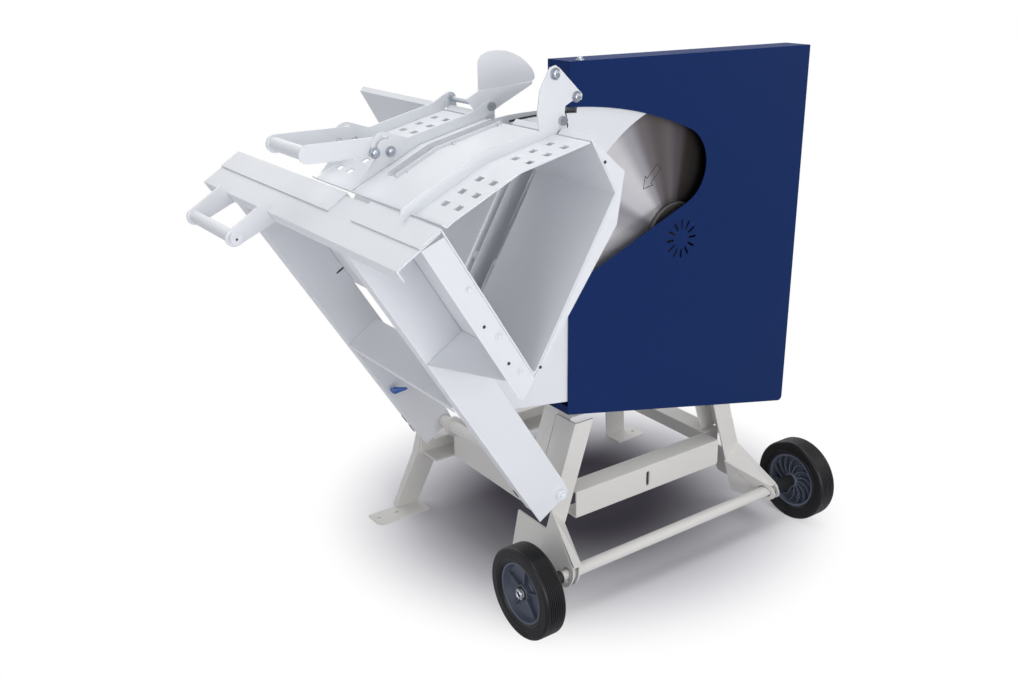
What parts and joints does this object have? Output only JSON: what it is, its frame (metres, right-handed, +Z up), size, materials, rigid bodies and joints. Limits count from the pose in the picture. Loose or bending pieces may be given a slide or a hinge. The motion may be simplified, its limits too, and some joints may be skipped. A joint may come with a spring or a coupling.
{
  "type": "rocking log saw",
  "caption": "Wheeled firewood circular saw: a rocking log trough with a perforated hold-down swings the wood into a guarded blade driven by a rear motor.",
  "frame": {"origin": "centre of the bounding box's footprint, at ground level", "axes": "+X is the feed direction, from the operator's handle towards the blade; +Y runs along the blade axis from the guard to the motor; +Z is up"},
  "size_m": [1.2952, 0.826, 1.1712],
  "materials": {
    "frame_grey": "warm light grey powder coat, satin",
    "rocker_white": "cool off-white powder coat, satin",
    "guard_blue": "navy powder coat, satin",
    "tyre_black": "matt solid rubber with fine tread lines",
    "rim_slate": "slate moulded plastic",
    "zinc": "bright zinc plate",
    "flange_iron": "dark turned casting",
    "blade_steel": "circular ground steel",
    "black_plastic": "matt black moulding",
    "motor_grey": "cast and painted grey",
    "fan_cover_grey": "grey moulding",
    "start_green": "gloss",
    "stop_red": "gloss",
    "inlet_blue": "matt blue moulding",
    "lever_blue": "dipped blue plastic"
  },
  "bodies": {
    "base": {"axle": "frame_grey", "front_beam": "frame_grey", "side_beam_left": "frame_grey", "side_beam_right": "frame_grey", "rear_beam": "frame_grey", "near_leg_left": "frame_grey", "near_leg_right": "frame_grey", "console_post_left": "frame_grey", "console_post_right": "frame_grey", "motor_console": "frame_grey", "far_leg_left": "frame_grey", "far_leg_right": "frame_grey", "pivot_tube": "frame_grey", "pivot_bracket_near": "frame_grey", "pivot_bracket_far": "frame_grey", "guard_front": "guard_blue", "guard_back": "guard_blue", "motor_housing": "motor_grey", "fan_cover": "fan_cover_grey", "terminal_box": "fan_cover_grey", "switch_box": "black_plastic", "plug_inlet": "inlet_blue", "hub_cap_left": "zinc", "hub_cap_right": "zinc"},
    "wheel_left": {"tyre_left": "tyre_black", "rim_left": "rim_slate"},
    "wheel_right": {"tyre_right": "tyre_black", "rim_right": "rim_slate"},
    "saw_blade": {"blade": "blade_steel", "flange_near": "flange_iron", "flange_far": "flange_iron", "arbor": "zinc"},
    "rocker": {"pivot_shaft": "zinc", "rocker_leg_near": "rocker_white", "rocker_leg_far": "rocker_white", "top_plate": "rocker_white", "trough_near": "rocker_white", "trough_far": "rocker_white", "gable_near": "rocker_white", "gable_slot_near": "rocker_white", "gable_slot_far": "rocker_white", "gable_far": "rocker_white", "leg_shelf": "rocker_white", "gusset_shelf": "rocker_white", "cover_edge": "black_plastic", "lower_handle": "rocker_white", "blade_cover_near": "rocker_white", "blade_cover_far": "rocker_white", "hinge_bolt_near": "zinc", "hinge_rod_far": "zinc"},
    "hold_down": {"hold_down_near": "rocker_white", "hold_down_middle": "rocker_white", "hold_down_far": "rocker_white", "hold_arm_middle": "rocker_white", "hold_arm_far": "rocker_white", "upper_handle": "rocker_white", "sail_fin": "rocker_white"},
    "lock_lever": {"lock_knob": "lever_blue"},
    "start_button": {"start_button": "start_green"},
    "stop_button": {"stop_button": "stop_red"}
  },
  "joints": [
    {"name": "wheel_left_spin", "type": "hinge", "parent": "base", "child": "wheel_left", "pos_m": [-0.20738, -0.263, 0.1], "axis": [1, 0, 0], "continuous": true},
    {"name": "wheel_right_spin", "type": "hinge", "parent": "base", "child": "wheel_right", "pos_m": [0.62062, -0.263, 0.1], "axis": [1, 0, 0], "continuous": true},
    {"name": "blade_spin", "type": "hinge", "parent": "base", "child": "saw_blade", "pos_m": [0.27562, -0.145, 0.755], "axis": [0, 1, 0], "continuous": true},
    {"name": "rocker_swing", "type": "hinge", "parent": "base", "child": "rocker", "pos_m": [-0.08538, 0, 0.265], "axis": [0, 1, 0], "range_deg": [0, 30]},
    {"name": "hold_down_lift", "type": "hinge", "parent": "rocker", "child": "hold_down", "pos_m": [-0.16277, -0.19, 1.07212], "axis": [0, -1, 0], "range_deg": [-55, 0]},
    {"name": "lock_lever_turn", "type": "hinge", "parent": "rocker", "child": "lock_lever", "pos_m": [-0.22418, 0.24, 0.38239], "axis": [0, 1, 0], "range_deg": [0, 90]},
    {"name": "start_press", "type": "slide", "parent": "base", "child": "start_button", "axis": [0, -1, 0], "range_m": [0, 0.004], "stiffness_N_per_m": 300},
    {"name": "stop_press", "type": "slide", "parent": "base", "child": "stop_button", "axis": [0, -1, 0], "range_m": [0, 0.004], "stiffness_N_per_m": 300}
  ]
}
